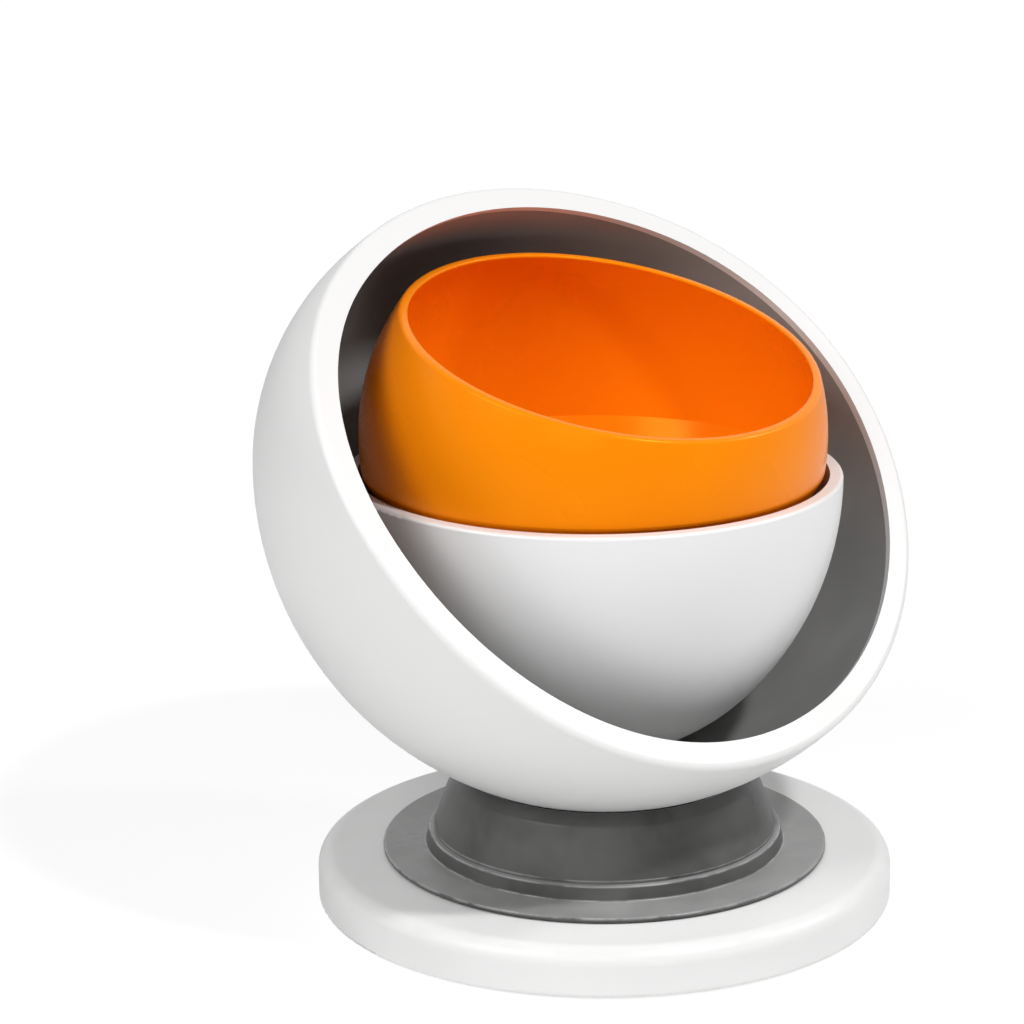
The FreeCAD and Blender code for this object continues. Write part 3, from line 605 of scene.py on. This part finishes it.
def top_light_and_dust_group():
    """Mask of faces that look up, in cloudy patches: painted light from above, with dust."""
    group, given, result = new_group("top_light_and_dust", [
        ("Amount", "NodeSocketFloat", 1.0),
        ("Patches per Metre", "NodeSocketFloat", 40.0),
    ], [("Mask", "NodeSocketFloat")])
    facing = add(group, "ShaderNodeNewGeometry").outputs["Normal"]
    upward = add(group, "ShaderNodeSeparateXYZ", [(0, facing)]).outputs["Z"]
    place = add(group, "ShaderNodeTexCoord").outputs["Object"]
    cloud = noise(group, place, given.outputs["Patches per Metre"], detail=4.0)
    cloud = ramp(group, cloud, 0.2, 0.75)
    cloud = calc(group, "ADD", calc(group, "MULTIPLY", cloud, 0.35), 0.65)
    mask = calc(group, "MULTIPLY", ramp(group, upward, 0.65, 0.97), cloud)
    mask = calc(group, "MULTIPLY", mask, given.outputs["Amount"])
    group.links.new(mask, result.inputs["Mask"])
    return group


top_light_and_dust = top_light_and_dust_group()
# The near-black Colour is partly the grey's own tone and partly painted shade for the neck under
# the globe; the lighter edge lines are painted highlights, broken like wear.
pedestal_grey, tree, surface = plastic("pedestal_grey", {
    "Colour": (0.060, 0.060, 0.058, 1), "Patch Colour": (0.125, 0.125, 0.123, 1),
    "Patches per Metre": 42.0, "Patch Strength": 0.7, "Peel per Metre": 800.0,
    "Peel Strength": 0.5, "Roughness": 0.36, "Roughness Spread": 0.2}, 0.00002,
    edges=[(0.0680, flange_top, 0.0009, 0.0), (0.0540, collar_top, 0.0007, 0.0),
           (neck_foot[0], groove_top, 0.0006, 0.0),
           (collar_foot_radius, flange_top, 0.0006, 0.0)],
    edge_colour=(0.42, 0.42, 0.415, 1), edge_shine=0.12)
# Faces that look up turn light grey: painted light from above, in dusty patches.
dust_and_top_light = add(tree, "ShaderNodeGroup", node_tree=top_light_and_dust)
skin_colour = surface.inputs["Base Color"].links[0].from_socket
dusted_and_top_lit = blend_colour(tree, dust_and_top_light.outputs["Mask"], skin_colour, (0.31, 0.31, 0.308, 1))
tree.links.new(dusted_and_top_lit, surface.inputs["Base Color"])
surface.inputs["Specular IOR Level"].default_value = 0.25
made("turned_pedestal", side_view("pedestal_view", pedestal_view), round_pedestal_tree(), {
    "Material": pedestal_grey}, "turntable", "pedestal")

# White globe shell and its screws
# The outer globe is one satin white moulding, cut open on a slant, with a broad turned-in rim. Four
# screws from below the pedestal's deck hold it.
shell_white = plastic("shell_white", {
    "Colour": (0.845, 0.842, 0.838, 1), "Patch Colour": (0.828, 0.825, 0.82, 1),
    "Patches per Metre": 18.0, "Patch Strength": 0.6, "Peel per Metre": 700.0,
    "Peel Strength": 0.4, "Roughness": 0.38, "Roughness Spread": 0.1}, 0.00002)[0]
dress("outer_shell", shell_white)
screw_ring("shell_screws_crossed", 4, boss_ring_radius, 45.0, 0.0, deck_low, 0.0368,
           "turntable", "shell_screws")

# Dark liner and the post under the bowl
# A thin grey inner globe, pressed in under the rim; the short post stands on its floor.
liner_grey, _, surface = plastic("liner_grey", {
    "Colour": (0.31, 0.308, 0.305, 1), "Patch Colour": (0.39, 0.387, 0.384, 1),
    "Patches per Metre": 26.0, "Patch Strength": 0.6, "Peel per Metre": 900.0,
    "Peel Strength": 0.5, "Roughness": 0.5, "Roughness Spread": 0.14}, 0.00002)
surface.inputs["Specular IOR Level"].default_value = 0.2
for name in ("shell_liner", "bowl_spacer"):
    dress(name, liner_grey)

# White bowl and its screws
# A deep thick-walled bowl with a level flat lip, in a glossier white than the shell, screwed down
# through its floor.
bowl_setback = 0.005
# The lighter line along the lip's outer edge is a painted highlight, broken in places.
bowl_white = plastic("bowl_white", {
    "Colour": (0.85, 0.85, 0.85, 1), "Patch Colour": (0.838, 0.838, 0.838, 1),
    "Patches per Metre": 20.0, "Patch Strength": 0.6, "Peel per Metre": 600.0,
    "Peel Strength": 0.3, "Roughness": 0.34, "Roughness Spread": 0.03}, 0.00001,
    edges=[(0.0752, 0.1330, 0.0012, bowl_setback)], edge_colour=(0.90, 0.90, 0.90, 1))[0]
dress("bowl", bowl_white)
screw_ring("bowl_screws_crossed", 3, 0.0120, 30.0, bowl_setback, 0.0531, 0.0342,
           "turntable", "bowl_screws")

# Orange cup
# The pen cup is a glossy orange moulding with a slanted mouth and a polished, rounded rim.
cup_orange, _, surface = plastic("cup_orange", {
    "Colour": (0.97, 0.245, 0.002, 1), "Patch Colour": (0.99, 0.275, 0.003, 1),
    "Patches per Metre": 22.0, "Patch Strength": 0.5, "Peel per Metre": 500.0,
    "Peel Strength": 0.3, "Roughness": 0.26, "Roughness Spread": 0.08}, 0.00001)
surface.inputs["Specular Tint"].default_value = (1.0, 0.55, 0.06, 1)
surface.inputs["Specular IOR Level"].default_value = 0.35
dress("cup", cup_orange)

# Pale studio
# A white sweep seen as white by the camera, a small key lamp high at the front, a big soft lamp at
# the left, a weak one low at the left front and a small one at the right.
studio_white = bpy.data.worlds.new("studio_white")
bpy.context.scene.world = studio_white
studio_white.use_nodes = True
sky = studio_white.node_tree
sky.nodes.clear()
rays = add(sky, "ShaderNodeLightPath")
seen = calc(sky, "MAXIMUM", rays.outputs["Is Camera Ray"], rays.outputs["Is Glossy Ray"])
seen = calc(sky, "MAXIMUM", seen, rays.outputs["Is Transmission Ray"])
soft_level = add(sky, "ShaderNodeBackground", [("Color", (1, 1, 1, 1)), ("Strength", 0.02)])
white_level = add(sky, "ShaderNodeBackground", [("Color", (1, 1, 1, 1)), ("Strength", 1.0)])
sky_mix = add(sky, "ShaderNodeMixShader", [
    (0, seen), (1, soft_level.outputs[0]), (2, white_level.outputs[0])])
add(sky, "ShaderNodeOutputWorld", [("Surface", sky_mix.outputs[0])])

floor_half = 4.0
floor_mesh = bpy.data.meshes.new("studio_floor")
floor_mesh.from_pydata([(-floor_half, -floor_half, 0), (floor_half, -floor_half, 0),
                        (floor_half, floor_half, 0), (-floor_half, floor_half, 0)],
                       [], [(0, 1, 2, 3)])
studio_floor = bpy.data.objects.new("studio_floor", floor_mesh)
bpy.context.scene.collection.objects.link(studio_floor)
floor_pale = bpy.data.materials.new("floor_pale")
floor_pale.use_nodes = True
sweep = floor_pale.node_tree
sweep.nodes.clear()
floor_rays = add(sweep, "ShaderNodeLightPath")
plain_floor = add(sweep, "ShaderNodeBsdfDiffuse", [("Color", (0.8, 0.8, 0.8, 1))])
plain_glow = add(sweep, "ShaderNodeEmission", [("Color", (1, 1, 1, 1)), ("Strength", 0.16)])
bounce_floor = add(sweep, "ShaderNodeAddShader", [
    (0, plain_floor.outputs[0]), (1, plain_glow.outputs[0])])
shadow_floor = add(sweep, "ShaderNodeBsdfDiffuse", [("Color", (0.25, 0.25, 0.25, 1))])
floor_place = add(sweep, "ShaderNodeTexCoord").outputs["Object"]
floor_distance = add(sweep, "ShaderNodeVectorMath", [(0, floor_place)],
                     operation="LENGTH").outputs["Value"]
glow_level = add(sweep, "ShaderNodeMapRange", [
    ("Value", floor_distance), ("From Min", 0.2), ("From Max", 1.2), ("To Min", 0.84),
    ("To Max", 1.0)], clamp=True).outputs["Result"]
white_glow = add(sweep, "ShaderNodeEmission", [("Color", (1, 1, 1, 1)),
                                               ("Strength", glow_level)])
seen_floor = add(sweep, "ShaderNodeAddShader", [
    (0, shadow_floor.outputs[0]), (1, white_glow.outputs[0])])
floor_mix = add(sweep, "ShaderNodeMixShader", [
    (0, floor_rays.outputs["Is Camera Ray"]), (1, bounce_floor.outputs[0]),
    (2, seen_floor.outputs[0])])
add(sweep, "ShaderNodeOutputMaterial", [("Surface", floor_mix.outputs[0])])
floor_mesh.materials.append(floor_pale)

target_point = Vector((0, 0, 0.1))
lamp_distance = 1.6


def lamp(name, azimuth, elevation, size, watts):
    """Square area lamp that looks at the object from an azimuth and elevation in degrees."""
    data = bpy.data.lights.new(name, "AREA")
    data.size = size
    data.energy = watts
    turn = math.radians(azimuth)
    rise = math.radians(elevation)
    away = Vector((math.sin(turn) * math.cos(rise), -math.cos(turn) * math.cos(rise),
                   math.sin(rise)))
    lamp_object = bpy.data.objects.new(name, data)
    lamp_object.location = target_point + away * lamp_distance
    lamp_object.rotation_euler = (-away).to_track_quat("-Z", "Y").to_euler()
    bpy.context.scene.collection.objects.link(lamp_object)


lamp("key_lamp", 4.0, 54.0, 0.12, 12.6)
lamp("left_lamp", -90.0, 38.0, 0.7, 11.8)
lamp("front_lamp", -50.0, 25.0, 0.7, 3.6)
lamp("right_lamp", 55.0, 35.0, 0.2, 6.4)

# Camera
# A long lens from the left front, a little above the rim, as in the photograph.
camera_place = Vector((-0.6842, -0.7442, 0.3992))
camera_azimuth = -42.6
camera_pitch = 15.68
focal_length = 122.5
camera_data = bpy.data.cameras.new("camera")
camera_data.lens = focal_length
camera_data.sensor_width = 36.0
camera_data.shift_x = -0.0906
camera_data.shift_y = 0.0173
camera = bpy.data.objects.new("camera", camera_data)
camera_turn = math.radians(camera_azimuth)
camera_drop = math.radians(camera_pitch)
looking = Vector((-math.sin(camera_turn) * math.cos(camera_drop),
                  math.cos(camera_turn) * math.cos(camera_drop), -math.sin(camera_drop)))
camera.location = camera_place
camera.rotation_euler = looking.to_track_quat("-Z", "Y").to_euler()
bpy.context.scene.collection.objects.link(camera)
bpy.context.scene.camera = camera
bpy.context.scene.view_settings.view_transform = "Standard"
